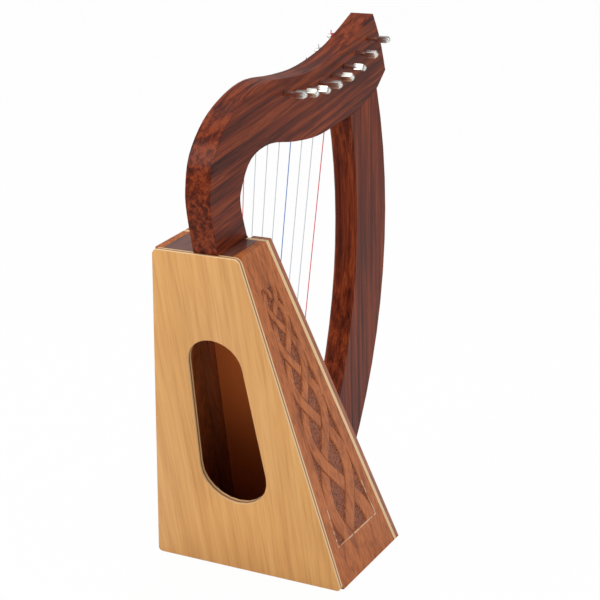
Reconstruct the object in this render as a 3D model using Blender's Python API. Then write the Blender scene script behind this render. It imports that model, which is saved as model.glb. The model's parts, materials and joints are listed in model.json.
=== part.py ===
"""Eight-string lap harp: a wedge-shaped sound box, a swan neck, a bowed pillar, strings and tuning pins.

Axes: +X runs from the back panel towards the pillar, +Y is the string side of the neck, +Z is up.
The origin is the middle of the box's underside. Every length is in metres.
"""
import math

import bmesh
import bpy
import numpy as np
from mathutils import Matrix, Vector

# Clearance between pieces that touch, and round a pin or dowel in its hole
GAP = 0.0003
HOLE_PLAY = 0.0003

# Sound box, measured on its outer faces in the plane of the strings
BOX_HEIGHT = 0.350
BACK_LEAN = math.radians(14.7)
DEPTH_BOTTOM = 0.1425
DEPTH_TOP = 0.065
TOP_RISE = 0.0048
WIDTH_BOTTOM = 0.207
WIDTH_TOP = 0.088
BACK_THICKNESS = 0.006
SIDE_THICKNESS = 0.008
SOUNDBOARD_THICKNESS = 0.0045
BATTEN_THICKNESS = 0.0055
BATTEN_WIDTH = 0.018
TOP_BLOCK_HEIGHT = 0.030
BASE_THICKNESS = 0.008
LINING_SIZE = 0.010

# Sound hole in the back panel: two circles on a line up the panel, joined by their outer tangents
SLOT_LOW_HEIGHT = 0.121
SLOT_LOW_RADIUS = 0.036
SLOT_HIGH_HEIGHT = 0.243
SLOT_HIGH_RADIUS = 0.0285
SLOT_SHIFT_Y = -0.002

# Foot block behind the soundboard, which takes the pillar's screws
FOOT_BLOCK_DEPTH = 0.022
FOOT_BLOCK_WIDTH = 0.060
FOOT_BLOCK_TOP = 0.056

# Neck and pillar are sawn from one thickness of plank and stand off the middle, on the pin-head side
PLANK_THICKNESS = 0.0254
PLANK_SHIFT_Y = -0.0099
ARRIS = 0.0022

# Outline of the neck, from the top back edge of the box: (forward, up)
NECK_SPINE = (
    (0.0035, 0.0000), (-0.0065, 0.0370), (-0.0085, 0.0600), (-0.0010, 0.0890), (0.0245, 0.1155),
    (0.0600, 0.1325), (0.1000, 0.1408), (0.1530, 0.1383), (0.2030, 0.1395), (0.2600, 0.1500),
    (0.2980, 0.1635), (0.3330, 0.1780),
)
NECK_FRONT = ((0.3330, 0.1780), (0.3520, 0.1500), (0.3672, 0.1158))
NECK_UNDERSIDE = (
    (0.3480, 0.1010), (0.3010, 0.0850), (0.2528, 0.0780), (0.2038, 0.0732), (0.1540, 0.0762),
    (0.1037, 0.0828), (0.0669, 0.0753), (0.0488, 0.0526), (0.0465, 0.0360), (0.0600, 0.0000),
)
NECK_POINTS_PER_SPAN = 4

# Pillar: two arcs, given by where they end and how far they bow forward of the straight line
PILLAR_HEAD_BACK = 0.2780
PILLAR_HEAD_FRONT = 0.3470
PILLAR_FOOT_CLIMB = 0.058
PILLAR_FOOT_REACH = 0.0135
PILLAR_BACK_BOW = 0.049
PILLAR_FRONT_BOW = 0.0695
PILLAR_SPANS = 14

# Dowels and screws
DOWEL_RADIUS = 0.004
DOWEL_LENGTH = 0.036
NECK_DOWEL_SPREAD = 0.024
PILLAR_DOWEL_PLACES = (0.2960, 0.3260)
SCREW_RADIUS = 0.002
SCREW_HEAD_RADIUS = 0.004
SCREW_HEAD_HEIGHT = 0.0025
SCREW_BITE = 0.018
SCREW_CLIMBS = (0.032, 0.048)

# Tuning pins, counted from the shortest string
STRINGS = 8
PIN_FIRST = 0.1317
PIN_STEP = 0.0244
PIN_STEP_GROWTH = 0.0004
PIN_DROP_SHORT = 0.0140
PIN_DROP_LONG = 0.0195
PIN_RADIUS = 0.0024
PIN_HEAD_HALF = 0.0030
PIN_HEAD_LENGTH = 0.0135
PIN_NEAR_REACH = 0.0238
PIN_FAR_REACH = 0.0210
PIN_SIDES = 16
PIN_HEAD_TURNS = (8, 40, 62, 15, 35, 70, 20, 5)
STRING_HOLE_RADIUS = 0.00095

# Strings and their windings
STRING_DIAMETER_SHORT = 0.00080
STRING_DIAMETER_LONG = 0.00100
STRING_OFF_PLANK = 0.0125
COIL_TURN_GAP = 0.00047
COIL_WHOLE_TURNS = 2
COIL_POINTS_PER_TURN = 24
COIL_TAIL = 0.004
COIL_BEND = 0.0008
STRING_TOP_STANDOFF = 0.0031

# String holes: how far up the soundboard they sit, and the strips that back them
STRING_LAST_CLIMB = 0.100
STRING_CLIMB_STEP = 0.0347
STRIP_WIDTH = 0.014
STRIP_THICKNESS = 0.003
RIB_WIDTH = 0.022
RIB_THICKNESS = 0.004
STRIP_MARGIN = 0.020
EYELET_BORE = 0.0010
EYELET_WALL = 0.0006
EYELET_FLANGE = 0.0026
EYELET_FLANGE_HEIGHT = 0.0006
EYELET_SIDES = 10
RIB_HOLE_RADIUS = 0.0012
KNOT_RADIUS = 0.0020
KNOT_LENGTH = 0.0030

ROUND_SIDES = 12
STOCK = 1.6
ORIGIN_X = DEPTH_BOTTOM / 2


def clear_scene():
    for obj in list(bpy.data.objects):
        bpy.data.objects.remove(obj, do_unlink=True)


def material(name, colour, roughness, metallic=0.0):
    mat = bpy.data.materials.new(name)
    mat.use_nodes = True
    shader = mat.node_tree.nodes["Principled BSDF"]
    shader.inputs["Base Color"].default_value = (*colour, 1.0)
    shader.inputs["Roughness"].default_value = roughness
    shader.inputs["Metallic"].default_value = metallic
    mat.diffuse_color = (*colour, 1.0)
    return mat


def add_object(name, data, mat, place=(0.0, 0.0, 0.0)):
    obj = bpy.data.objects.new(name, data)
    obj.location = place
    if mat:
        data.materials.append(mat)
    bpy.context.scene.collection.objects.link(obj)
    return obj


def add_bmesh(name, bm, mat, place=(0.0, 0.0, 0.0), smooth=False):
    bmesh.ops.recalc_face_normals(bm, faces=bm.faces)
    mesh = bpy.data.meshes.new(name)
    bm.to_mesh(mesh)
    bm.free()
    if smooth:
        mesh.shade_smooth()
        mesh.set_sharp_from_angle(angle=math.radians(35))
    return add_object(name, mesh, mat, place)


# Points and planes of the box. A plane is (point, outward normal); x is counted from the box's middle.

def in_plane(forward, up, across=0.0):
    """A point counted from the bottom back edge of the box."""
    return Vector((forward - ORIGIN_X, across, up))


TOP_BACK_FORWARD = -BOX_HEIGHT * math.tan(BACK_LEAN)
TOP_BACK = in_plane(TOP_BACK_FORWARD, BOX_HEIGHT)
TOP_FRONT = in_plane(TOP_BACK_FORWARD + DEPTH_TOP, BOX_HEIGHT + TOP_RISE)
BOTTOM_FRONT = in_plane(DEPTH_BOTTOM, 0.0)

BACK_UP = Vector((-math.sin(BACK_LEAN), 0.0, math.cos(BACK_LEAN)))
FRONT_UP = (TOP_FRONT - BOTTOM_FRONT).normalized()
FRONT_OUT = Vector((FRONT_UP.z, 0.0, -FRONT_UP.x))
TOP_OUT = Vector((-TOP_RISE, 0.0, DEPTH_TOP)).normalized()
SIDE_OUT = Vector((0.0, BOX_HEIGHT, (WIDTH_BOTTOM - WIDTH_TOP) / 2)).normalized()

BACK = (in_plane(0.0, 0.0), Vector((-BACK_UP.z, 0.0, BACK_UP.x)))
FRONT = (BOTTOM_FRONT, FRONT_OUT)
TOP = (TOP_BACK, TOP_OUT)
BOTTOM = (in_plane(0.0, 0.0), Vector((0.0, 0.0, -1.0)))
LEFT = (Vector((0.0, WIDTH_BOTTOM / 2, 0.0)), SIDE_OUT)
RIGHT = (Vector((0.0, -WIDTH_BOTTOM / 2, 0.0)), Vector((0.0, -SIDE_OUT.y, SIDE_OUT.z)))

FRONT_STACK = BATTEN_THICKNESS + SOUNDBOARD_THICKNESS


def within(plane, inset=0.0):
    """Keep what lies behind the plane, moved in by inset."""
    point, out = plane
    return point - out * inset, out


def beyond(plane, inset):
    """Keep what lies in front of the plane, moved in by inset."""
    point, out = plane
    return point - out * inset, -out


def band_y(middle, width):
    """Keep a band across Y."""
    side = Vector((0.0, 1.0, 0.0))
    return [(side * (middle + width / 2), side), (side * (middle - width / 2), -side)]


def band_climb(low, high):
    """Keep a band along the soundboard, counted up from its bottom edge."""
    return [(BOTTOM_FRONT + FRONT_UP * high, FRONT_UP), (BOTTOM_FRONT + FRONT_UP * low, -FRONT_UP)]


def saw(name, planes, mat):
    """Saw a board out of square stock, one plane at a time."""
    bm = bmesh.new()
    bmesh.ops.create_cube(bm, size=STOCK)
    for point, out in planes:
        everything = bm.verts[:] + bm.edges[:] + bm.faces[:]
        cut = bmesh.ops.bisect_plane(
            bm, geom=everything, dist=1e-7, plane_co=point, plane_no=out, clear_outer=True)
        rim = [part for part in cut["geom_cut"] if isinstance(part, bmesh.types.BMEdge)]
        bmesh.ops.holes_fill(bm, edges=rim, sides=0)
    return add_bmesh(name, bm, mat)


def lathe(bm, profile, sides, start, axis):
    """Turn a profile of (distance along the axis, radius) into a closed round solid."""
    across = axis.orthogonal().normalized()
    other = axis.cross(across).normalized()
    rings = []
    for along, radius in profile:
        ring = []
        for i in range(sides):
            angle = 2 * math.pi * i / sides
            spoke = across * math.cos(angle) + other * math.sin(angle)
            ring.append(bm.verts.new(start + axis * along + spoke * radius))
        rings.append(ring)
    bridge_rings(bm, rings)
    bm.faces.new(rings[0])
    bm.faces.new(rings[-1])


def bridge_rings(bm, rings, close=False):
    pairs = list(zip(rings, rings[1:]))
    if close:
        pairs.append((rings[-1], rings[0]))
    for low, high in pairs:
        count = len(low)
        for i in range(count):
            j = (i + 1) % count
            bm.faces.new((low[i], low[j], high[j], high[i]))


def rods(name, places, radius, length, sides=ROUND_SIDES):
    """Plain rods for drilling, each (middle, direction), joined in one cutter."""
    bm = bmesh.new()
    for middle, axis in places:
        lathe(bm, ((-length / 2, radius), (length / 2, radius)), sides, middle, axis)
    cutter = add_bmesh(name, bm, None)
    cutter.hide_render = True
    cutter.display_type = "WIRE"
    return cutter


def cut(obj, cutter):
    boolean = obj.modifiers.new("cut_" + cutter.name, "BOOLEAN")
    boolean.operation = "DIFFERENCE"
    boolean.solver = "EXACT"
    boolean.object = cutter


def smooth_line(points, per_span):
    """Points along a smooth curve through the given points (Catmull-Rom)."""
    ends = [points[0]] + list(points) + [points[-1]]
    line = []
    for p0, p1, p2, p3 in zip(ends, ends[1:], ends[2:], ends[3:]):
        for i in range(per_span):
            t = i / per_span
            weights = (-t + 2 * t * t - t ** 3, 2 - 5 * t * t + 3 * t ** 3,
                       t + 4 * t * t - 3 * t ** 3, -t * t + t ** 3)
            span = zip(weights, (p0, p1, p2, p3))
            mixed = [w * Vector(p) / 2 for w, p in span]
            line.append(mixed[0] + mixed[1] + mixed[2] + mixed[3])
    line.append(Vector(points[-1]))
    return line


def from_top_back(point):
    """A neck outline point, given from the box's top back edge, as a point in space."""
    return TOP_BACK + Vector((point[0], 0.0, point[1]))


def onto_top(point):
    """Drop a point onto the box's top plane, one gap above it."""
    rise = TOP_OUT.dot(point - TOP_BACK) - GAP
    return point - Vector((0.0, 0.0, 1.0)) * rise / TOP_OUT.z


def arc_through(start, end, bow, spans):
    """Points of a circular arc from start to end that bows forward by bow."""
    chord = end - start
    half = chord.length / 2
    radius = (half * half + bow * bow) / (2 * bow)
    along = chord.normalized()
    forward = Vector((-along.z, 0.0, along.x))
    if forward.x < 0:
        forward.negate()
    centre = start + chord / 2 - forward * (radius - bow)
    reach = math.asin(half / radius)
    points = []
    for i in range(spans + 1):
        angle = -reach + 2 * reach * i / spans
        points.append(centre + forward * radius * math.cos(angle) + along * radius * math.sin(angle))
    return points


def plank(name, outline, crisp, mat):
    """Saw an outline out of the plank. Its arrises are eased, except along the crisp outline edges."""
    bm = bmesh.new()
    half = PLANK_THICKNESS / 2
    sides = []
    for y in (PLANK_SHIFT_Y - half, PLANK_SHIFT_Y + half):
        ring = [bm.verts.new((p.x, y, p.z)) for p in outline]
        bm.faces.new(ring)
        sides.append(ring)
    bridge_rings(bm, sides)
    weight = bm.edges.layers.float.new("bevel_weight_edge")
    count = len(outline)
    for ring in sides:
        for i in range(count):
            edge = bm.edges.get((ring[i], ring[(i + 1) % count]))
            edge[weight] = 0.0 if i in crisp else 1.0
    obj = add_bmesh(name, bm, mat)
    ease = obj.modifiers.new("ease_arrises", "BEVEL")
    ease.limit_method = "WEIGHT"
    ease.width = ARRIS
    ease.segments = 1
    ease.use_clamp_overlap = True
    return obj


# The box

def make_box(mats):
    inner_back = within(BACK, BACK_THICKNESS + GAP)
    inner_front = within(FRONT, FRONT_STACK + GAP)
    inner_left = within(LEFT, SIDE_THICKNESS + GAP)
    inner_right = within(RIGHT, SIDE_THICKNESS + GAP)

    back = saw("back_panel", [
        within(BACK), beyond(BACK, BACK_THICKNESS), within(LEFT), within(RIGHT), within(TOP),
        within(BOTTOM)], mats["pale_ply"])
    cut(back, make_slot_cutter())

    for name, plane in (("side_panel_left", LEFT), ("side_panel_right", RIGHT)):
        saw(name, [
            within(plane), beyond(plane, SIDE_THICKNESS), inner_back, inner_front, within(TOP),
            within(BOTTOM)], mats["side_wood"])

    saw("top_block", [
        inner_back, inner_front, inner_left, inner_right, within(TOP),
        beyond(TOP, TOP_BLOCK_HEIGHT)], mats["side_wood"])
    saw("base_board", [
        inner_back, inner_front, inner_left, inner_right, within(BOTTOM),
        beyond(BOTTOM, BASE_THICKNESS)], mats["side_wood"])

    saw("soundboard", [
        within(FRONT, BATTEN_THICKNESS), beyond(FRONT, FRONT_STACK), within(LEFT), within(RIGHT),
        within(TOP), within(BOTTOM)], mats["pale_ply"])
    for name, plane in (("edge_batten_left", LEFT), ("edge_batten_right", RIGHT)):
        saw(name, [
            within(FRONT), beyond(FRONT, BATTEN_THICKNESS - GAP), within(plane),
            beyond(plane, BATTEN_WIDTH), within(TOP), within(BOTTOM)], mats["side_wood"])

    floor = (Vector((0.0, 0.0, BASE_THICKNESS + GAP)), Vector((0.0, 0.0, -1.0)))
    ceiling = within(TOP, TOP_BLOCK_HEIGHT + GAP)
    for name, plane in (("lining_left", LEFT), ("lining_right", RIGHT)):
        saw(name, [
            inner_front, beyond(FRONT, FRONT_STACK + LINING_SIZE), within(plane, SIDE_THICKNESS + GAP),
            beyond(plane, SIDE_THICKNESS + LINING_SIZE), floor, ceiling], mats["pale_wood"])

    block_top = (Vector((0.0, 0.0, FOOT_BLOCK_TOP)), Vector((0.0, 0.0, 1.0)))
    saw("foot_block", [
        inner_front, beyond(FRONT, FRONT_STACK + FOOT_BLOCK_DEPTH), floor, block_top]
        + band_y(PLANK_SHIFT_Y, FOOT_BLOCK_WIDTH), mats["pale_wood"])

    low = STRING_LAST_CLIMB - STRIP_MARGIN
    high = string_climb(0) + STRIP_MARGIN
    saw("string_strip", [
        within(FRONT, BATTEN_THICKNESS - STRIP_THICKNESS), beyond(FRONT, BATTEN_THICKNESS - GAP)]
        + band_y(0.0, STRIP_WIDTH) + band_climb(low, high), mats["side_wood"])
    rib_high = min(high, string_climb(0) + RIB_WIDTH / 2)
    saw("string_rib", [
        inner_front, beyond(FRONT, FRONT_STACK + RIB_THICKNESS)]
        + band_y(0.0, RIB_WIDTH) + band_climb(low, rib_high), mats["pale_wood"])


def make_slot_cutter():
    """The sound hole's outline, run straight through the back panel."""
    spread = SLOT_HIGH_HEIGHT - SLOT_LOW_HEIGHT
    lean = math.asin((SLOT_LOW_RADIUS - SLOT_HIGH_RADIUS) / spread)
    outline = []
    arcs = (
        (SLOT_HIGH_HEIGHT, SLOT_HIGH_RADIUS, lean, math.pi - lean),
        (SLOT_LOW_HEIGHT, SLOT_LOW_RADIUS, math.pi - lean, 2 * math.pi + lean),
    )
    for height, radius, start, end in arcs:
        for i in range(ROUND_SIDES + 1):
            angle = start + (end - start) * i / ROUND_SIDES
            across = SLOT_SHIFT_Y + radius * math.cos(angle)
            outline.append((across, height + radius * math.sin(angle)))
    bm = bmesh.new()
    rings = []
    for depth in (-BACK_THICKNESS, 2 * BACK_THICKNESS):
        base = BACK[0] - BACK[1] * depth
        rings.append([bm.verts.new(base + BACK_UP * up + Vector((0.0, y, 0.0))) for y, up in outline])
    bridge_rings(bm, rings)
    for ring in rings:
        bm.faces.new(ring)
    cutter = add_bmesh("slot_cutter", bm, None)
    cutter.hide_render = True
    cutter.display_type = "WIRE"
    return cutter


# The neck and the pillar

def neck_lines():
    spine = [from_top_back(p) for p in smooth_line(NECK_SPINE, NECK_POINTS_PER_SPAN)]
    front = [from_top_back(p) for p in smooth_line(NECK_FRONT, NECK_POINTS_PER_SPAN)]
    under = [from_top_back(p) for p in smooth_line(NECK_UNDERSIDE, NECK_POINTS_PER_SPAN)]
    spine[0] = onto_top(spine[0])
    under[-1] = onto_top(under[-1])
    return spine, front, under


def height_at(line, x):
    """Height of a line of points at x."""
    for a, b in zip(line, line[1:]):
        if min(a.x, b.x) <= x <= max(a.x, b.x):
            return a.z + (b.z - a.z) * (x - a.x) / (b.x - a.x)
    raise ValueError("the line does not reach this place")


def head_seat(under):
    """The stretch of the neck's underside that the pillar's head meets, from back to front."""
    back_x = TOP_BACK.x + PILLAR_HEAD_BACK
    front_x = TOP_BACK.x + PILLAR_HEAD_FRONT
    line = sorted(under, key=lambda p: p.x)
    inner = [p for p in line if back_x < p.x < front_x and p.z > TOP_BACK.z + NECK_UNDERSIDE[3][1]]
    seat = [Vector((back_x, 0.0, height_at(under, back_x)))] + inner
    seat.append(Vector((front_x, 0.0, height_at(under, front_x))))
    return [p - Vector((0.0, 0.0, GAP)) for p in seat]


def make_neck(mats):
    spine, front, under = neck_lines()
    outline = spine + front[1:] + under
    crisp = {len(outline) - 1}
    seat_low = TOP_BACK.x + PILLAR_HEAD_BACK
    seat_high = TOP_BACK.x + PILLAR_HEAD_FRONT
    first_under = len(spine) + len(front) - 1
    for i in range(first_under, len(outline) - 1):
        middle = (outline[i].x + outline[i + 1].x) / 2
        if seat_low < middle < seat_high:
            crisp.add(i)
    return plank("neck", outline, crisp, mats["dark_wood"])


def pillar_foot():
    """Where the pillar's back edge meets the soundboard, the box's front corner, and the toe."""
    face = BOTTOM_FRONT - FRONT_OUT * (BATTEN_THICKNESS - GAP)
    heel = face + FRONT_UP * PILLAR_FOOT_CLIMB
    corner = face - FRONT_UP * face.z / FRONT_UP.z
    toe = BOTTOM_FRONT + Vector((PILLAR_FOOT_REACH, 0.0, 0.0))
    return heel, corner, toe


def make_pillar(mats):
    seat = head_seat(neck_lines()[2])
    heel, corner, toe = pillar_foot()
    front = arc_through(seat[-1], toe, PILLAR_FRONT_BOW, PILLAR_SPANS)
    back = arc_through(heel, seat[0], PILLAR_BACK_BOW, PILLAR_SPANS)
    outline = seat[:-1] + front + [corner] + back[:-1]
    first_foot = len(seat) - 1 + PILLAR_SPANS
    crisp = set(range(len(seat) - 1)) | {first_foot, first_foot + 1}
    return plank("pillar", outline, crisp, mats["dark_wood"])


# Dowels and screws

def neck_dowel_places():
    middle = (NECK_SPINE[0][0] + NECK_UNDERSIDE[-1][0]) / 2
    places = []
    for offset in (-NECK_DOWEL_SPREAD / 2, NECK_DOWEL_SPREAD / 2):
        point = onto_top(from_top_back((middle + offset, 0.0)))
        point.y = PLANK_SHIFT_Y
        places.append((point, TOP_OUT))
    return places


def pillar_dowel_places():
    seat = head_seat(neck_lines()[2])
    slope = (seat[-1] - seat[0]).normalized()
    axis = Vector((-slope.z, 0.0, slope.x))
    places = []
    for forward in PILLAR_DOWEL_PLACES:
        x = TOP_BACK.x + forward
        places.append((Vector((x, PLANK_SHIFT_Y, height_at(seat, x))), axis))
    return places


def screw_places():
    face = BOTTOM_FRONT - FRONT_OUT * (FRONT_STACK + FOOT_BLOCK_DEPTH)
    return [(face + FRONT_UP * climb + Vector((0.0, PLANK_SHIFT_Y, 0.0)), FRONT_OUT)
            for climb in SCREW_CLIMBS]


def make_fasteners(mats, solids):
    chamfer = DOWEL_RADIUS / 4
    half = DOWEL_LENGTH / 2
    profile = ((-half, DOWEL_RADIUS - chamfer), (-half + chamfer, DOWEL_RADIUS),
               (half - chamfer, DOWEL_RADIUS), (half, DOWEL_RADIUS - chamfer))
    for stem, places, hosts in (
            ("neck_dowel", neck_dowel_places(), ("neck", "top_block")),
            ("pillar_dowel", pillar_dowel_places(), ("neck", "pillar"))):
        for number, (middle, axis) in enumerate(places, 1):
            bm = bmesh.new()
            lathe(bm, profile, ROUND_SIDES, middle, axis)
            add_bmesh(f"{stem}_{number}", bm, mats["pale_wood"], smooth=True)
        drill = rods(stem + "_drill", places, DOWEL_RADIUS + HOLE_PLAY, DOWEL_LENGTH + 2 * GAP)
        for host in hosts:
            cut(solids[host], drill)

    shank = FOOT_BLOCK_DEPTH + SOUNDBOARD_THICKNESS + SCREW_BITE
    thread_start = shank - SCREW_BITE / 2
    profile = ((-GAP - SCREW_HEAD_HEIGHT, SCREW_HEAD_RADIUS * 0.7), (-GAP - SCREW_HEAD_HEIGHT / 2, SCREW_HEAD_RADIUS),
               (-GAP, SCREW_HEAD_RADIUS), (-GAP, SCREW_RADIUS), (thread_start, SCREW_RADIUS),
               (shank, SCREW_RADIUS / 3))
    for number, (start, axis) in enumerate(screw_places(), 1):
        bm = bmesh.new()
        lathe(bm, profile, ROUND_SIDES, start, axis)
        add_bmesh(f"foot_screw_{number}", bm, mats["steel"], smooth=True)
    places = [(start + axis * shank / 2, axis) for start, axis in screw_places()]
    drill = rods("foot_screw_drill", places, SCREW_RADIUS + HOLE_PLAY, shank + 2 * GAP)
    for host in ("foot_block", "soundboard", "pillar"):
        cut(solids[host], drill)


# Strings: their holes, their pins and their windings. String 0 is the shortest.

def share(index):
    """0 for the shortest string, 1 for the longest."""
    return index / (STRINGS - 1)


def string_climb(index):
    return STRING_LAST_CLIMB + STRING_CLIMB_STEP * (STRINGS - 1 - index)


def string_diameter(index):
    return STRING_DIAMETER_SHORT + (STRING_DIAMETER_LONG - STRING_DIAMETER_SHORT) * share(index)


def string_hole(index):
    """Middle of a string hole on the soundboard's outer face."""
    return BOTTOM_FRONT - FRONT_OUT * BATTEN_THICKNESS + FRONT_UP * string_climb(index)


def pin_place(index):
    """Where a pin's axis crosses the middle of the neck."""
    spine = neck_lines()[0]
    x = TOP_BACK.x + PIN_FIRST + PIN_STEP * index + PIN_STEP_GROWTH * index * index
    drop = PIN_DROP_SHORT + (PIN_DROP_LONG - PIN_DROP_SHORT) * share(index)
    return Vector((x, PLANK_SHIFT_Y, height_at(spine[len(spine) // 3:], x) - drop))


def winding_radius(index):
    return PIN_RADIUS + GAP + string_diameter(index) / 2


def string_run(index):
    """The string's free stretch: the point where it leaves its hole, where it meets its pin, and the way up."""
    pin = pin_place(index)
    foot = string_hole(index) + FRONT_OUT * (STRIP_THICKNESS + EYELET_FLANGE_HEIGHT + COIL_BEND)
    flat = Vector((pin.x - foot.x, pin.z - foot.z))
    swing = math.asin(winding_radius(index) / flat.length)
    direction = math.atan2(flat.y, flat.x) + swing
    reach = math.sqrt(flat.length ** 2 - winding_radius(index) ** 2)
    side = PLANK_SHIFT_Y + PLANK_THICKNESS / 2 + STRING_OFF_PLANK
    meet = Vector((foot.x + reach * math.cos(direction), side, foot.z + reach * math.sin(direction)))
    return foot, meet, (meet - foot).normalized()


def round_corner(before, corner, after, radius, steps):
    """Points that turn the corner between two straight runs on an arc."""
    one = (before - corner).normalized()
    two = (after - corner).normalized()
    half = one.angle(two) / 2
    setback = radius / math.tan(half)
    centre = corner + (one + two).normalized() * (radius / math.sin(half))
    start = corner + one * setback - centre
    axis = start.cross(corner + two * setback - centre).normalized()
    sweep = math.pi - 2 * half
    return [centre + Matrix.Rotation(sweep * i / steps, 3, axis) @ start for i in range(steps + 1)]


def tube(name, points, radii, depth, resolution, mat, place=(0.0, 0.0, 0.0)):
    curve = bpy.data.curves.new(name, "CURVE")
    curve.dimensions = "3D"
    curve.bevel_depth = depth
    curve.bevel_resolution = resolution
    curve.use_fill_caps = True
    spline = curve.splines.new("POLY")
    spline.points.add(len(points) - 1)
    for slot, point, radius in zip(spline.points, points, radii):
        slot.co = (*(point - Vector(place)), 1.0)
        slot.radius = radius
    return add_object(name, curve, mat, place)


def least_self_gap(points, diameter):
    """Least distance between stretches of a tube that lie more than three diameters apart along it."""
    xyz = np.array([tuple(p) for p in points])
    steps = np.linalg.norm(np.diff(xyz, axis=0), axis=1)
    along = np.concatenate([[0.0], np.cumsum(steps)])
    apart = np.linalg.norm(xyz[:, None] - xyz[None], axis=2)
    far = np.abs(along[:, None] - along[None]) > 3 * diameter
    return apart[far].min() - diameter


def make_string(index, mat):
    diameter = string_diameter(index)
    foot, meet, up = string_run(index)
    inner = string_hole(index) - FRONT_OUT * (SOUNDBOARD_THICKNESS + RIB_THICKNESS + GAP)
    bend = round_corner(inner, foot, meet, COIL_BEND, 4)
    bulge = KNOT_RADIUS / (diameter / 2)
    knot = ((KNOT_LENGTH, 1.0), (KNOT_LENGTH * 0.95, bulge * 0.6), (KNOT_LENGTH * 0.6, bulge),
            (KNOT_LENGTH * 0.25, bulge), (0.0, bulge * 0.75))
    points = [inner - FRONT_OUT * (depth + GAP) for depth, _ in knot]
    radii = [size for _, size in knot]
    points += [inner - FRONT_OUT * GAP / 2, inner]
    radii += [1.0, 1.0]
    points += bend + [meet - up * STRING_TOP_STANDOFF]
    radii += [1.0] * (len(bend) + 1)
    tube(f"string_{index + 1}", points, radii, diameter / 2, 2, mat)


def coil_points(index):
    """The winding: tail, through the pin's hole, round the pin, and straight off towards the string."""
    diameter = string_diameter(index)
    radius = winding_radius(index)
    pitch = diameter + COIL_TURN_GAP
    pin = pin_place(index)
    _, meet, up = string_run(index)
    end_angle = math.atan2(meet.z - pin.z, meet.x - pin.x) + 2 * math.pi * COIL_WHOLE_TURNS
    start_angle = -math.pi / 2 + math.asin(COIL_BEND / radius)

    def lead(angle):
        turned = angle + math.pi / 2
        first = min(turned, math.pi) / math.pi
        rest = max(turned - math.pi, 0.0) / (2 * math.pi)
        return pitch * (first + rest)

    hole_y = meet.y + lead(end_angle)
    centre = Vector((pin.x, hole_y, pin.z))
    points = [centre + Vector((0.0, 0.0, z)) for z in (PIN_RADIUS + COIL_TAIL, PIN_RADIUS, 0.0)]
    bend_middle = centre + Vector((COIL_BEND, 0.0, -(radius - COIL_BEND)))
    for i in range(4):
        angle = math.pi + (math.pi / 2) * i / 4
        points.append(bend_middle + Vector((math.cos(angle), 0.0, math.sin(angle))) * COIL_BEND)
    steps = round(COIL_POINTS_PER_TURN * (end_angle - start_angle) / (2 * math.pi))
    for i in range(steps + 1):
        angle = start_angle + (end_angle - start_angle) * i / steps
        spoke = Vector((math.cos(angle), 0.0, math.sin(angle))) * radius
        points.append(centre + spoke - Vector((0.0, lead(angle), 0.0)))
    points.append(points[-1] - up * diameter)
    return points, hole_y


def make_coil(index, mat):
    diameter = string_diameter(index)
    points, _ = coil_points(index)
    gap = least_self_gap(points, diameter)
    print(f"winding {index + 1}: least gap to itself {gap * 1000:.2f} mm")
    tube(f"string_coil_{index + 1}", points, [1.0] * len(points), diameter / 2, 1, mat, pin_place(index))


def make_pin(index, mat):
    """A round pin with a square, round-ended head, turned to its own angle."""
    pin = pin_place(index)
    _, hole_y = coil_points(index)
    near = -PLANK_THICKNESS / 2 - PIN_NEAR_REACH
    far = PLANK_THICKNESS / 2 + PIN_FAR_REACH
    head_end = near + PIN_HEAD_LENGTH
    turn = math.radians(PIN_HEAD_TURNS[index % len(PIN_HEAD_TURNS)])
    # Each ring: place along the pin, half width, and how square it is
    rings_at = (
        (near, 0.45 * PIN_HEAD_HALF, 0.0), (near + 0.0010, 0.85 * PIN_HEAD_HALF, 0.2),
        (near + 0.0026, PIN_HEAD_HALF, 1.0), (head_end - 0.0015, PIN_HEAD_HALF, 1.0),
        (head_end, PIN_RADIUS, 0.0), (far - 0.0008, PIN_RADIUS, 0.0), (far, 0.7 * PIN_RADIUS, 0.0),
    )
    bm = bmesh.new()
    rings = []
    for y, half, square in rings_at:
        ring = []
        for i in range(PIN_SIDES):
            angle = 2 * math.pi * i / PIN_SIDES
            stretch = 1 / max(abs(math.cos(angle)), abs(math.sin(angle)))
            radius = half * (1 + square * (stretch - 1))
            ring.append(bm.verts.new((radius * math.cos(angle + turn), y, radius * math.sin(angle + turn))))
        rings.append(ring)
    bridge_rings(bm, rings)
    bm.faces.new(rings[0])
    bm.faces.new(rings[-1])
    obj = add_bmesh(f"tuning_pin_{index + 1}", bm, mat, pin, smooth=True)
    up = Vector((0.0, 0.0, 1.0))
    drill = rods(f"pin_drill_{index + 1}", [(Vector((pin.x, hole_y, pin.z)), up)],
                 STRING_HOLE_RADIUS, 4 * PIN_RADIUS, 8)
    cut(obj, drill)
    return obj


def make_eyelet(index, mat):
    """A flanged tube that lines a string hole through the strip and the soundboard."""
    outer = EYELET_BORE + EYELET_WALL
    top = STRIP_THICKNESS + GAP
    bottom = -SOUNDBOARD_THICKNESS + GAP
    profile = ((bottom, outer), (top, outer), (top, EYELET_FLANGE),
               (top + EYELET_FLANGE_HEIGHT * 0.6, EYELET_FLANGE),
               (top + EYELET_FLANGE_HEIGHT, EYELET_BORE + EYELET_WALL / 2), (bottom, EYELET_BORE))
    bm = bmesh.new()
    start = string_hole(index)
    across = FRONT_OUT.orthogonal().normalized()
    other = FRONT_OUT.cross(across).normalized()
    rings = []
    for along, radius in profile:
        ring = []
        for i in range(EYELET_SIDES):
            angle = 2 * math.pi * i / EYELET_SIDES
            spoke = across * math.cos(angle) + other * math.sin(angle)
            ring.append(bm.verts.new(start + FRONT_OUT * along + spoke * radius))
        rings.append(ring)
    bridge_rings(bm, rings, close=True)
    add_bmesh(f"eyelet_{index + 1}", bm, mat, smooth=True)


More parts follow.
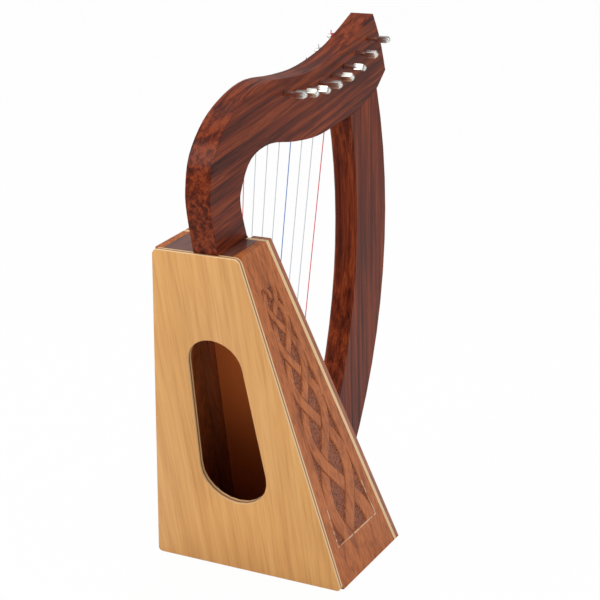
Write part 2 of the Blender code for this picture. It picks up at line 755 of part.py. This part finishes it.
def make_strings(mats, solids):
    colours = ("red_string", "clear_string", "clear_string", "clear_string", "blue_string",
               "clear_string", "clear_string", "red_string")
    for index in range(STRINGS):
        mat = mats[colours[index % len(colours)]]
        make_string(index, mat)
        make_coil(index, mat)
        make_pin(index, mats["nickel"])
        make_eyelet(index, mats["brass"])

    sideways = Vector((0.0, 1.0, 0.0))
    pins = [(pin_place(i), sideways) for i in range(STRINGS)]
    cut(solids["neck"], rods("pin_holes", pins, PIN_RADIUS + HOLE_PLAY, 2 * PLANK_THICKNESS, PIN_SIDES))
    holes = [(string_hole(i), FRONT_OUT) for i in range(STRINGS)]
    wide = rods("eyelet_holes", holes, EYELET_BORE + EYELET_WALL + HOLE_PLAY, 4 * FRONT_STACK, EYELET_SIDES)
    cut(solids["soundboard"], wide)
    cut(solids["string_strip"], wide)
    cut(solids["string_rib"], rods("string_holes", holes, RIB_HOLE_RADIUS, 4 * FRONT_STACK, 8))


def main():
    clear_scene()
    mats = {
        "pale_ply": material("pale_ply", (0.66, 0.38, 0.13), 0.45),
        "pale_wood": material("pale_wood", (0.60, 0.40, 0.20), 0.60),
        "side_wood": material("side_wood", (0.34, 0.11, 0.04), 0.42),
        "dark_wood": material("dark_wood", (0.16, 0.035, 0.013), 0.28),
        "nickel": material("nickel", (0.75, 0.73, 0.68), 0.25, 1.0),
        "steel": material("steel", (0.55, 0.55, 0.55), 0.35, 1.0),
        "brass": material("brass", (0.80, 0.58, 0.24), 0.30, 1.0),
        "red_string": material("red_string", (0.60, 0.03, 0.06), 0.30),
        "blue_string": material("blue_string", (0.03, 0.18, 0.55), 0.30),
        "clear_string": material("clear_string", (0.72, 0.76, 0.78), 0.25),
    }
    make_box(mats)
    make_neck(mats)
    make_pillar(mats)
    solids = {name: bpy.data.objects[name] for name in (
        "neck", "pillar", "top_block", "foot_block", "soundboard", "string_strip", "string_rib")}
    make_fasteners(mats, solids)
    make_strings(mats, solids)


main()
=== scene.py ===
import json
import math

import bmesh
import bpy
import numpy as np
from mathutils import Matrix, Vector


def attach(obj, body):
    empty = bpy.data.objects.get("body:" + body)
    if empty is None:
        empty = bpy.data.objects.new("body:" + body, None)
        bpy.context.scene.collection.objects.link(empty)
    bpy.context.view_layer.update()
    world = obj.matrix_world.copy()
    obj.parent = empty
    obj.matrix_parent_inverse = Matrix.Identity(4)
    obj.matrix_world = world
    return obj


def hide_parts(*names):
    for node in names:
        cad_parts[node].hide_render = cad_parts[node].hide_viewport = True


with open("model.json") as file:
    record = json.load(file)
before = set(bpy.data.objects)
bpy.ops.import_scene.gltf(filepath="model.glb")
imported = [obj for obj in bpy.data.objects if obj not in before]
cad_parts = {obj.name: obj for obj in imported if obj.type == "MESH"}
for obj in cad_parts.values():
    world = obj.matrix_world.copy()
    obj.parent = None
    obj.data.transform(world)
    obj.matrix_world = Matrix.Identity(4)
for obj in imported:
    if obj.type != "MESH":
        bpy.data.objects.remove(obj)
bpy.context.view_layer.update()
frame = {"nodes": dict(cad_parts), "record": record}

# The sound box where the CAD has it, in metres: the top corners of its outline in the XZ plane,
# the directions square to its back panel and soundboard, and how far these two lean from upright.
TOP_BACK = Vector((-0.16307, 0.0, 0.35))
TOP_FRONT = Vector((-0.09807, 0.0, 0.3548))
BACK_INWARD = Vector((0.96727, 0.0, 0.25376))
FRONT_OUTWARD = Vector((0.9025, 0.0, 0.4307))
BACK_LEAN = math.radians(14.7)
FRONT_LEAN = math.radians(25.5)
BACK_THICKNESS = 0.006
SOUNDBOARD_THICKNESS = 0.0045
STRINGS = 8

# The back panel's worn corners and edges.
PANEL_CORNER = 0.005
PANEL_CORNER_STEPS = 5
PANEL_EDGE = 0.0008
PANEL_EDGE_STEPS = 3
CORNER_FROM_MIDDLE = 0.040
ALONG_THICKNESS = 0.94
OUTER_FACE_REACH = 0.0002
SHARP_EDGE = 1.0

# The border of the carving, measured in from the back panel's and soundboard's outer faces.
CARVED_CELL = 0.0008
SAME_PLANE = 0.999
BORDER_FROM_BACK = 0.020
BORDER_FROM_FRONT = 0.022
BORDER_LOW = 0.042
BORDER_HIGH = 0.316
BORDER_HALF = 0.0009
BORDER_DEPTH = 0.0006
WORN_BELOW = 0.085
WORN_SHARE = 0.6

# The knotwork: strands that swing from side to side, over and under each other, on a sunk ground.
GROUND_MARGIN = 0.0015
GROUND_DEPTH = 0.0016
STIPPLE_DEPTH = 0.0007
UNDER_DROP = 0.0006
CUT_LINE = 0.0011
CUT_SHARE = 0.75
STRANDS = 3
BAND_SHARE = 0.105
BAND_LEAST = 0.0024
TURNS_PER_WIDTH = 0.27
SWING_STEPS = 2000
SQUARE_TO_LEAN = 0.93
LEAST_SWING = 0.006
LEAST_ROOM = 0.002
BELOW_ALL = -9.0
# Painted shade: the sunk mask is full on the sunk ground and the cut lines, and bands that dip under get a
# share of it in step with their depth.
SUNK_LIMIT = 0.6
BAND_SHADE = 0.35
SIDE_SEEDS = {"side_panel_left": 3, "side_panel_right": 5}

SMOOTH_ANGLE = math.radians(32.0)
JOIN_DISTANCE = 0.000002
FLAT_ANGLE = 0.01

# The grain's direction in the XZ plane, turned from +X towards +Z.
UPRIGHT = math.radians(90.0)
NECK_GRAIN = math.radians(10.0)
PILLAR_GRAIN = math.radians(93.0)
FACE_LIMIT = 0.75

FLOOR_HALF = 12.0
FLOOR_WHITENESS = 0.97
WORLD_LIGHT = 0.70
WORLD_REFLECTED = 0.35

# Each light's name, place, the point it is turned to, its size and its power in watts.
LIGHTS = (
    ("key", (-1.6, 0.9, 1.9), (-0.05, 0.0, 0.25), 1.4, 26.0),
    ("fill", (-0.2, -2.2, 1.3), (0.0, 0.0, 0.25), 1.6, 12.0),
    ("overhead", (0.3, 0.2, 2.4), (0.0, 0.0, 0.2), 2.0, 14.0),
)

# The camera that the photograph was matched with.
CAMERA_PLACE = Vector((-1.31985, -0.6831, 0.7140))
CAMERA_RIGHT = Vector((0.44702, -0.89452, -0.00016))
CAMERA_FORWARD = Vector((0.85603, 0.42784, -0.2901))
LENS = 94.07
SENSOR_WIDTH = 36.0

record = frame["record"]
NODE_SLOT = {entry["node"]: entry["material_slot"] for entry in record["subparts"]}
NODE_BODY = {}
for body_name, body_nodes in record["behaviour"]["bodies"].items():
    for node_name in body_nodes:
        NODE_BODY[node_name] = body_name


def linear(red, green, blue):
    """sRGB numbers from 0 to 255 as the linear colour that a shader takes."""
    values = []
    for value in (red, green, blue):
        share = value / 255.0
        if share <= 0.04045:
            values.append(share / 12.92)
        else:
            values.append(((share + 0.055) / 1.055) ** 2.4)
    return (values[0], values[1], values[2], 1.0)


WHITE = linear(255, 255, 255)
HONEY = [
    (0.28, linear(202, 142, 72)),
    (0.50, linear(215, 156, 84)),
    (0.70, linear(223, 168, 97)),
]
ROSE = [
    (0.28, linear(42, 14, 8)),
    (0.42, linear(84, 30, 14)),
    (0.52, linear(110, 43, 20)),
    (0.60, linear(136, 60, 27)),
    (0.74, linear(72, 25, 13)),
]
CARVED_RED = [
    (0.30, linear(142, 76, 38)),
    (0.45, linear(174, 98, 52)),
    (0.58, linear(188, 110, 60)),
    (0.72, linear(160, 86, 44)),
]
PLAIN_RED = [
    (0.30, linear(122, 62, 36)),
    (0.50, linear(166, 94, 54)),
    (0.72, linear(140, 74, 42)),
]
PURPLE_BROWN = [(0.3, linear(92, 50, 42)), (0.7, linear(126, 76, 60))]
BARE = [(0.3, linear(186, 150, 108)), (0.7, linear(214, 184, 142))]
# The darker colour of the stippled sunk ground: painted shade, with noise for the stipple.
SHADED_STIPPLE = [(0.40, linear(98, 48, 30)), (0.60, linear(158, 90, 56))]
WOOD_PORES = [(0.36, linear(175, 165, 160)), (0.52, WHITE)]
PLY_PORES = [(0.34, linear(205, 190, 170)), (0.50, WHITE)]
PALE_PLY = linear(226, 188, 138)
DARK_PLY = linear(146, 96, 58)
PLY_LAYERS = [(0.0, PALE_PLY), (0.34, DARK_PLY), (0.66, PALE_PLY)]
WORN_PALE = linear(205, 176, 150)
INNER_ORANGE = linear(226, 122, 58)


class Tree:
    """A material's node tree, with short calls for the nodes that this script uses."""

    def __init__(self, name, roughness, metallic=0.0, coat=0.0):
        self.material = bpy.data.materials.new(name)
        self.material.use_nodes = True
        self.nodes = self.material.node_tree.nodes
        self.links = self.material.node_tree.links
        self.shader = self.nodes["Principled BSDF"]
        self.shader.inputs["Roughness"].default_value = roughness
        self.shader.inputs["Metallic"].default_value = metallic
        self.shader.inputs["Coat Weight"].default_value = coat
        self.shader.inputs["Coat Roughness"].default_value = 0.1

    def add(self, kind, **settings):
        """A new node of that kind."""
        node = self.nodes.new(kind)
        for key, value in settings.items():
            setattr(node, key, value)
        return node

    def link(self, source, target):
        """Joins two sockets."""
        self.links.new(source, target)

    def feed(self, value, socket):
        """Links the value to the socket if it is a socket itself, or else sets it there."""
        if isinstance(value, bpy.types.NodeSocket):
            self.link(value, socket)
        else:
            socket.default_value = value

    def math(self, operation, first, second=None, clamp=False):
        """The outcome of a calculation on one or two values."""
        node = self.add("ShaderNodeMath", operation=operation, use_clamp=clamp)
        self.feed(first, node.inputs[0])
        if second is not None:
            self.feed(second, node.inputs[1])
        return node.outputs[0]

    def along(self, vector, direction):
        """How far the vector reaches in that direction."""
        node = self.add("ShaderNodeVectorMath", operation="DOT_PRODUCT")
        node.inputs[1].default_value = direction
        self.link(vector, node.inputs[0])
        return node.outputs["Value"]

    def place(self):
        """The object's own coordinates."""
        return self.add("ShaderNodeTexCoord").outputs["Object"]

    def grain_space(self, lean, along, across, shift=0.0):
        """Object coordinates turned about Y so that X follows the grain, then scaled."""
        turn = self.add("ShaderNodeMapping")
        turn.inputs["Rotation"].default_value = (0.0, lean, 0.0)
        turn.inputs["Location"].default_value = (shift, shift, shift)
        stretch = self.add("ShaderNodeMapping")
        stretch.inputs["Scale"].default_value = (along, across, across)
        self.link(self.place(), turn.inputs["Vector"])
        self.link(turn.outputs["Vector"], stretch.inputs["Vector"])
        return stretch.outputs["Vector"]

    def noise(self, vector, scale, detail, roughness=0.6, distortion=0.0):
        """Noise from 0 to 1."""
        node = self.add("ShaderNodeTexNoise")
        node.inputs["Scale"].default_value = scale
        node.inputs["Detail"].default_value = detail
        node.inputs["Roughness"].default_value = roughness
        node.inputs["Distortion"].default_value = distortion
        self.link(vector, node.inputs["Vector"])
        return node.outputs["Fac"]

    def ramp(self, factor, stops, constant=False):
        """A colour looked up in the stops, which are (position, colour) from low to high."""
        node = self.add("ShaderNodeValToRGB")
        node.color_ramp.interpolation = "CONSTANT" if constant else "LINEAR"
        elements = node.color_ramp.elements
        for element, (position, color) in zip(elements, (stops[0], stops[-1])):
            element.position = position
            element.color = color
        for position, color in stops[1:-1]:
            elements.new(position).color = color
        self.link(factor, node.inputs["Fac"])
        return node.outputs["Color"]

    def mix(self, factor, first, second, blend="MIX"):
        """The first colour where the factor is 0 and the second where it is 1."""
        node = self.add("ShaderNodeMix", data_type="RGBA", blend_type=blend)
        self.feed(factor, node.inputs["Factor"])
        self.feed(first, node.inputs[6])
        self.feed(second, node.inputs[7])
        return node.outputs[2]

    def bump(self, height, strength):
        """Fine relief on the surface."""
        node = self.add("ShaderNodeBump")
        node.inputs["Strength"].default_value = strength
        node.inputs["Distance"].default_value = 0.0004
        self.link(height, node.inputs["Height"])
        self.link(node.outputs["Normal"], self.shader.inputs["Normal"])

    def color(self, value):
        """Sets the shader's colour."""
        self.feed(value, self.shader.inputs["Base Color"])


def wood_tree(name, lean, stops, roughness, coat, along=4.0, across=90.0, shift=0.0, specular=0.4):
    """Wood with streaks along one direction in the XZ plane, and fine pores. Gives its tree and colour."""
    tree = Tree(name, roughness, coat=coat)
    tree.shader.inputs["Specular IOR Level"].default_value = specular
    vector = tree.grain_space(lean, along, across, shift)
    streaks = tree.noise(vector, 1.0, 5.0, 0.62, 0.35)
    fine = tree.noise(vector, 5.0, 3.0, 0.5)
    streaked = tree.ramp(streaks, stops)
    pores = tree.ramp(fine, WOOD_PORES)
    color = tree.mix(0.55, streaked, pores, "MULTIPLY")
    tree.color(color)
    tree.bump(fine, 0.08)
    return tree, color


def wood(*values, **named):
    """A plain wood material."""
    return wood_tree(*values, **named)[0].material


def plywood(name, lean, inward, start, thickness, inner=None):
    """Wood on the faces, and the plywood's layers on its edges. inner is the inner face's own colour."""
    tree = Tree(name, 0.42, coat=0.25)
    vector = tree.grain_space(lean, 5.0, 120.0)
    streaks = tree.noise(vector, 1.0, 5.0, 0.6, 0.2)
    fine = tree.noise(vector, 4.0, 3.0, 0.5)
    face = tree.mix(0.22, tree.ramp(streaks, HONEY), tree.ramp(fine, PLY_PORES), "MULTIPLY")
    geometry = tree.add("ShaderNodeNewGeometry")
    offset = tree.add("ShaderNodeVectorMath", operation="SUBTRACT")
    offset.inputs[1].default_value = start
    tree.link(geometry.outputs["Position"], offset.inputs[0])
    reach = tree.along(offset.outputs["Vector"], inward)
    depth = tree.math("DIVIDE", reach, thickness, clamp=True)
    layers = tree.ramp(depth, PLY_LAYERS, constant=True)
    facing = tree.along(geometry.outputs["Normal"], inward)
    is_face = tree.math("GREATER_THAN", tree.math("ABSOLUTE", facing), FACE_LIMIT)
    if inner is not None:
        is_inner = tree.math("GREATER_THAN", facing, FACE_LIMIT)
        face = tree.mix(is_inner, face, inner)
    tree.color(tree.mix(is_face, layers, face))
    tree.bump(fine, 0.06)
    return tree.material


def carved_wood(name):
    """Reddish wood, with painted shade darkening the stippled sunk ground and the dipping bands, and the
    border line worn pale.
    """
    tree, plain = wood_tree(
        name, UPRIGHT + BACK_LEAN, CARVED_RED, roughness=0.45, coat=0.06, across=110.0, specular=0.18,
    )
    # Painted shade, read from the sunk mask, turns the sunk ground and the dipping bands to the darker
    # stippled colour.
    sunk_shade = tree.add("ShaderNodeAttribute", attribute_name="sunk_shade").outputs["Fac"]
    worn = tree.add("ShaderNodeAttribute", attribute_name="worn").outputs["Fac"]
    ground = tree.ramp(tree.noise(tree.place(), 620.0, 2.0), SHADED_STIPPLE)
    carved = tree.mix(sunk_shade, plain, ground)
    patches = tree.math("GREATER_THAN", tree.noise(tree.place(), 160.0, 3.0), 0.42)
    tree.color(tree.mix(tree.math("MULTIPLY", worn, patches), carved, WORN_PALE))
    return tree.material


def plain_material(name, color, roughness, metallic=0.0, coat=0.0):
    """One colour whose roughness varies a little over the surface."""
    tree = Tree(name, roughness, metallic, coat)
    tree.color(color)
    spots = tree.math("MULTIPLY", tree.noise(tree.place(), 240.0, 3.0), 0.04)
    tree.link(tree.math("ADD", spots, roughness), tree.shader.inputs["Roughness"])
    return tree.material


def make_materials():
    """A material for each of the record's slots, and some that only this script uses."""
    return {
        "back": plywood(
            "back_plywood", UPRIGHT + BACK_LEAN, BACK_INWARD, TOP_BACK, BACK_THICKNESS,
        ),
        "board": plywood(
            "soundboard_plywood", UPRIGHT + FRONT_LEAN, -FRONT_OUTWARD, TOP_FRONT, SOUNDBOARD_THICKNESS,
            inner=INNER_ORANGE,
        ),
        "carved": carved_wood("carved_wood"),
        "neck": wood(
            "neck_wood", NECK_GRAIN, ROSE, roughness=0.36, coat=0.03,
            along=7.0, across=190.0, specular=0.10,
        ),
        "pillar": wood(
            "pillar_wood", PILLAR_GRAIN, ROSE, roughness=0.36, coat=0.03,
            across=130.0, shift=0.4, specular=0.08,
        ),
        "pale_ply": wood("pale_ply", UPRIGHT, HONEY, roughness=0.45, coat=0.2),
        "pale_wood": wood("pale_wood", UPRIGHT, BARE, roughness=0.6, coat=0.0),
        "side_wood": wood("side_wood", UPRIGHT + FRONT_LEAN, PLAIN_RED, roughness=0.42, coat=0.3),
        "top_wood": wood("top_wood", 0.0, PURPLE_BROWN, roughness=0.35, coat=0.4),
        "nickel": plain_material("nickel", linear(226, 224, 218), 0.28, metallic=1.0),
        "steel": plain_material("steel", linear(180, 180, 178), 0.3, metallic=1.0),
        "brass": plain_material("brass", linear(208, 168, 92), 0.25, metallic=1.0),
        "red_string": plain_material("red_string", linear(218, 48, 74), 0.35, coat=0.3),
        "blue_string": plain_material("blue_string", linear(24, 112, 204), 0.35, coat=0.3),
        "clear_string": plain_material("clear_string", linear(198, 206, 214), 0.3, coat=0.3),
    }


MATERIALS = make_materials()

# The nodes whose material isn't named after their slot.
NODE_MATERIAL = {
    "back_panel": "back",
    "soundboard": "board",
    "neck": "neck",
    "pillar": "pillar",
    "top_block": "top_wood",
    "lining_left": "side_wood",
    "lining_right": "side_wood",
}


def material_of(node_name):
    """The material that a CAD node, or the piece that replaces it, shows."""
    return MATERIALS[NODE_MATERIAL.get(node_name, NODE_SLOT[node_name])]


def merged(node):
    """The node's mesh in the row frame, with its faces joined at their edges."""
    mesh = bmesh.new()
    mesh.from_mesh(node.data)
    mesh.transform(node.matrix_world)
    bmesh.ops.remove_doubles(mesh, verts=mesh.verts, dist=JOIN_DISTANCE)
    return mesh


def shade(mesh):
    """Smooth over the curves, sharp at the corners."""
    mesh.normal_update()
    for face in mesh.faces:
        face.smooth = True
    for edge in mesh.edges:
        is_joined = len(edge.link_faces) == 2
        edge.smooth = is_joined and edge.calc_face_angle(0.0) < SMOOTH_ANGLE


def add_piece(name, mesh, material, node_name):
    """The piece that shows in place of a CAD node, on that node's body."""
    data = bpy.data.meshes.new(name)
    mesh.to_mesh(data)
    mesh.free()
    data.materials.append(material)
    piece = bpy.data.objects.new(name, data)
    bpy.context.scene.collection.objects.link(piece)
    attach(piece, NODE_BODY[node_name])
    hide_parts(node_name)


def is_panel_corner(edge):
    """True for an edge through the back panel's thickness at one of its four corners."""
    along = (edge.verts[1].co - edge.verts[0].co).normalized()
    from_middle = min(abs(vertex.co.y) for vertex in edge.verts)
    return abs(along.dot(BACK_INWARD)) > ALONG_THICKNESS and from_middle > CORNER_FROM_MIDDLE


def is_outer_rim(edge):
    """True for a sharp edge round the back panel's outer face."""
    if len(edge.link_faces) != 2:
        return False
    reach = max((vertex.co - TOP_BACK).dot(BACK_INWARD) for vertex in edge.verts)
    return reach < OUTER_FACE_REACH and edge.calc_face_angle(0.0) > SHARP_EDGE


def round_edges(mesh, edges, radius, steps):
    """Rounds the edges."""
    bmesh.ops.bevel(mesh, geom=edges, offset=radius, segments=steps, profile=0.5, affect="EDGES")


def round_panel(mesh):
    """The back panel's four corners worn round, and its outer edges softened."""
    bmesh.ops.dissolve_limit(mesh, angle_limit=FLAT_ANGLE, verts=mesh.verts, edges=mesh.edges)
    corners = [edge for edge in mesh.edges if is_panel_corner(edge)]
    round_edges(mesh, corners, PANEL_CORNER, PANEL_CORNER_STEPS)
    mesh.normal_update()
    rims = [edge for edge in mesh.edges if is_outer_rim(edge)]
    round_edges(mesh, rims, PANEL_EDGE, PANEL_EDGE_STEPS)


def smooth_copy(node_name):
    """The node's shape with smooth shading."""
    mesh = merged(frame["nodes"][node_name])
    if node_name == "back_panel":
        round_panel(mesh)
    shade(mesh)
    add_piece(node_name + "_smooth", mesh, material_of(node_name), node_name)


def noise_grid(shape, seed):
    """Random numbers from 0 to 1, blurred once with their neighbours."""
    values = np.random.default_rng(seed).random(shape)
    spread = values.copy()
    beside = values[1:-1, :-2] + values[1:-1, 2:]
    above = values[:-2, 1:-1] + values[2:, 1:-1]
    spread[1:-1, 1:-1] = (values[1:-1, 1:-1] * 2.0 + above + beside) / 6.0
    return spread


def inside_border(points):
    """How far each point is inside the border's back side, its front side, and its nearest side."""
    from_back = (points - np.array(TOP_BACK)) @ np.array(BACK_INWARD)
    from_front = (np.array(TOP_FRONT) - points) @ np.array(FRONT_OUTWARD)
    height = points[..., 2]
    back_side = from_back - BORDER_FROM_BACK
    front_side = from_front - BORDER_FROM_FRONT
    across = np.minimum(back_side, front_side)
    upright = np.minimum(height - BORDER_LOW, BORDER_HIGH - height)
    return back_side, front_side, np.minimum(across, upright)


def swing_angle(height):
    """How far round its swing the first strand is. It swings quicker where the panel is narrow."""
    heights = np.linspace(BORDER_LOW, BORDER_HIGH, SWING_STEPS)
    spread = math.tan(FRONT_LEAN) - math.tan(BACK_LEAN)
    depth_at_top = TOP_FRONT.x - TOP_BACK.x
    depth = (depth_at_top + (TOP_BACK.z - heights) * spread) * SQUARE_TO_LEAN
    width = depth - BORDER_FROM_BACK - BORDER_FROM_FRONT - 2.0 * GROUND_MARGIN
    width = np.maximum(width, LEAST_SWING)
    steps = math.tau * TURNS_PER_WIDTH / width * (heights[1] - heights[0])
    return np.interp(height, heights, np.cumsum(steps))


def interlace(lateral, room, angle):
    """How far each point on a band is sunk, and which points are on a band."""
    rate = math.tau * TURNS_PER_WIDTH / room
    half = np.maximum(BAND_LEAST, BAND_SHARE * room)
    reach = room / 2.0 - half
    highest = np.full(room.shape, BELOW_ALL)
    sunk_by = np.full(room.shape, GROUND_DEPTH)
    on_band = np.zeros(room.shape, bool)
    for strand in range(STRANDS):
        turn = angle + math.tau * strand / STRANDS
        middle = reach * np.cos(turn)
        tilt = reach * np.sin(turn) * rate
        away = np.abs(lateral - middle) / np.sqrt(1.0 + tilt * tilt)
        # Where two strands cross, one of them has the greater value here, by turns.
        over = np.cos(STRANDS * turn) * np.sign(np.sin(turn))
        is_higher = over > highest
        is_band = (away < half) & is_higher
        is_beside = (away >= half) & (away < half + CUT_LINE) & is_higher
        on_band = on_band | is_band
        sunk_by = np.where(is_band, np.clip(-over, 0.0, 1.0) * UNDER_DROP, sunk_by)
        sunk_by = np.where(is_beside & on_band, GROUND_DEPTH * CUT_SHARE, sunk_by)
        highest = np.where(is_band | is_beside, over, highest)
    return sunk_by, on_band


def carving(points, seed):
    """How far each point of the face is sunk, the mask of painted shade on the sunk ground and dipping
    bands, and the mask of the worn line.
    """
    height = points[..., 2]
    back_side, front_side, inside = inside_border(points)
    is_low = height < WORN_BELOW
    line = np.clip(1.0 - np.abs(inside) / BORDER_HALF, 0.0, 1.0) * is_low
    worn = ((np.abs(inside) < BORDER_HALF * WORN_SHARE) & is_low).astype(float)
    room = np.maximum(back_side + front_side - 2.0 * GROUND_MARGIN, LEAST_ROOM)
    lateral = (back_side - front_side) / 2.0
    banded, on_band = interlace(lateral, room, swing_angle(height))
    stipple = (noise_grid(height.shape, seed) - 0.5) * STIPPLE_DEPTH
    knotwork = np.where(on_band, banded, GROUND_DEPTH + stipple)
    is_inside = inside > GROUND_MARGIN
    depth = np.where(is_inside, knotwork, line * BORDER_DEPTH)
    share = np.where(is_inside, np.clip(depth / GROUND_DEPTH, 0.0, 1.0), 0.0)
    # Painted shade: full on the sunk ground and cut lines, and in step with depth on bands that dip under.
    sunk_shade = np.where(share > SUNK_LIMIT, 1.0, share * BAND_SHADE)
    return depth, sunk_shade, worn


def outer_face(mesh):
    """The direction square to the side panel's outer face, and the triangles of that face."""
    mesh.normal_update()
    middle = sum((vertex.co for vertex in mesh.verts), Vector()) / len(mesh.verts)
    side = math.copysign(1.0, middle.y)
    outward = max((face.normal for face in mesh.faces), key=lambda normal: normal.y * side).copy()
    faces = [face for face in mesh.faces if face.normal.dot(outward) > SAME_PLANE]
    return outward, faces


def face_corners(faces):
    """The low back, low front, high back and high front corners of a four-sided face."""
    corners = {vertex for face in faces for vertex in face.verts}
    upward = sorted(corners, key=lambda vertex: vertex.co.z)
    low = sorted(upward[:2], key=lambda vertex: vertex.co.x)
    high = sorted(upward[-2:], key=lambda vertex: vertex.co.x)
    return [vertex.co.copy() for vertex in low + high]


def face_points(low_back, low_front, high_back, high_front):
    """A grid of points over the face, row by row from the bottom."""
    columns = int((low_front - low_back).length / CARVED_CELL) + 1
    rows = int((high_back - low_back).length / CARVED_CELL) + 1
    along = np.linspace(0.0, 1.0, columns)[None, :, None]
    up = np.linspace(0.0, 1.0, rows)[:, None, None]
    bottom = np.array(low_back) * (1.0 - along) + np.array(low_front) * along
    top = np.array(high_back) * (1.0 - along) + np.array(high_front) * along
    return bottom * (1.0 - up) + top * up


def add_grid(mesh, points, sunk_shade, worn, is_turned):
    """Adds a grid of faces to the mesh, with the two masks that the material reads: painted shade on the
    sunk parts, and the worn line.
    """
    sunk_shade_layer = mesh.verts.layers.float.new("sunk_shade")
    worn_layer = mesh.verts.layers.float.new("worn")
    rows, columns = sunk_shade.shape
    grid = []
    for row in range(rows):
        line = []
        for column in range(columns):
            vertex = mesh.verts.new(points[row, column])
            vertex[sunk_shade_layer] = sunk_shade[row, column]
            vertex[worn_layer] = worn[row, column]
            line.append(vertex)
        grid.append(line)
    for low, high in zip(grid, grid[1:]):
        for column in range(columns - 1):
            ring = [low[column], low[column + 1], high[column + 1], high[column]]
            if is_turned:
                ring.reverse()
            mesh.faces.new(ring).smooth = True


def carve_side(node_name, seed):
    """The side panel with its outer face as a fine grid, sunk where the carving is."""
    mesh = merged(frame["nodes"][node_name])
    outward, faces = outer_face(mesh)
    low_back, low_front, high_back, high_front = face_corners(faces)
    bmesh.ops.delete(mesh, geom=faces, context="FACES_ONLY")
    points = face_points(low_back, low_front, high_back, high_front)
    depth, sunk_shade, worn = carving(points, seed)
    points = points - depth[..., None] * np.array(outward)
    is_turned = (low_front - low_back).cross(high_back - low_back).dot(outward) < 0.0
    add_grid(mesh, points, sunk_shade, worn, is_turned)
    add_piece(node_name + "_carved", mesh, MATERIALS["carved"], node_name)


def make_pieces():
    """The pieces that replace CAD nodes, and the materials of the nodes that stay."""
    smooth_nodes = ["neck", "pillar", "back_panel"]
    for number in range(1, STRINGS + 1):
        smooth_nodes.append("string_%d" % number)
        smooth_nodes.append("string_coil_%d" % number)
        smooth_nodes.append("tuning_pin_%d" % number)
        smooth_nodes.append("eyelet_%d" % number)
    for name in smooth_nodes:
        smooth_copy(name)
    for name, seed in SIDE_SEEDS.items():
        carve_side(name, seed)
    for name, node in frame["nodes"].items():
        if name in smooth_nodes or name in SIDE_SEEDS:
            continue
        if not node.material_slots:
            node.data.materials.append(material_of(name))
        for material_slot in node.material_slots:
            material_slot.material = material_of(name)


def make_floor():
    """A flat floor that is nearly white to the camera and keeps a faint shadow."""
    mesh = bmesh.new()
    corners = ((-1.0, -1.0), (1.0, -1.0), (1.0, 1.0), (-1.0, 1.0))
    ring = [mesh.verts.new((x * FLOOR_HALF, y * FLOOR_HALF, 0.0)) for x, y in corners]
    mesh.faces.new(ring)
    data = bpy.data.meshes.new("floor")
    mesh.to_mesh(data)
    mesh.free()
    tree = Tree("floor_white", 0.9)
    tree.color(linear(225, 225, 225))
    glow = tree.add("ShaderNodeEmission")
    path = tree.add("ShaderNodeLightPath")
    seen = tree.add("ShaderNodeMixShader")
    tree.link(tree.math("MULTIPLY", path.outputs["Is Camera Ray"], FLOOR_WHITENESS), seen.inputs[0])
    tree.link(tree.shader.outputs[0], seen.inputs[1])
    tree.link(glow.outputs[0], seen.inputs[2])
    tree.link(seen.outputs[0], tree.nodes["Material Output"].inputs["Surface"])
    data.materials.append(tree.material)
    floor = bpy.data.objects.new("floor", data)
    bpy.context.scene.collection.objects.link(floor)


def make_world():
    """White to the camera, softer as a light and dimmer again in reflections."""
    world = bpy.data.worlds.new("studio")
    world.use_nodes = True
    nodes = world.node_tree.nodes
    links = world.node_tree.links
    background = nodes["Background"]
    background.inputs["Color"].default_value = WHITE
    path = nodes.new("ShaderNodeLightPath")
    unseen = nodes.new("ShaderNodeMapRange")
    unseen.inputs["To Min"].default_value = WORLD_LIGHT
    unseen.inputs["To Max"].default_value = WORLD_REFLECTED
    strength = nodes.new("ShaderNodeMapRange")
    strength.inputs["To Max"].default_value = 1.0
    links.new(path.outputs["Is Glossy Ray"], unseen.inputs["Value"])
    links.new(path.outputs["Is Camera Ray"], strength.inputs["Value"])
    links.new(unseen.outputs["Result"], strength.inputs["To Min"])
    links.new(strength.outputs["Result"], background.inputs["Strength"])
    bpy.context.scene.world = world


def make_light(name, place, aim, size, watts):
    """A square soft light that faces the aim."""
    data = bpy.data.lights.new(name, "AREA")
    data.shape = "SQUARE"
    data.size = size
    data.energy = watts
    light = bpy.data.objects.new(name, data)
    light.location = place
    light.rotation_euler = (Vector(aim) - Vector(place)).to_track_quat("-Z", "Y").to_euler()
    bpy.context.scene.collection.objects.link(light)


def make_camera():
    """The scene's camera, where the photograph was taken from."""
    data = bpy.data.cameras.new("camera")
    data.lens = LENS
    data.sensor_width = SENSOR_WIDTH
    camera = bpy.data.objects.new("camera", data)
    right = CAMERA_RIGHT.normalized()
    forward = CAMERA_FORWARD.normalized()
    up = right.cross(forward).normalized()
    turn = Matrix((right, up, -forward)).transposed()
    camera.matrix_world = Matrix.Translation(CAMERA_PLACE) @ turn.to_4x4()
    bpy.context.scene.collection.objects.link(camera)
    bpy.context.scene.camera = camera


make_pieces()
make_floor()
make_world()
for light_values in LIGHTS:
    make_light(*light_values)
make_camera()
bpy.context.scene.view_settings.view_transform = "Standard"
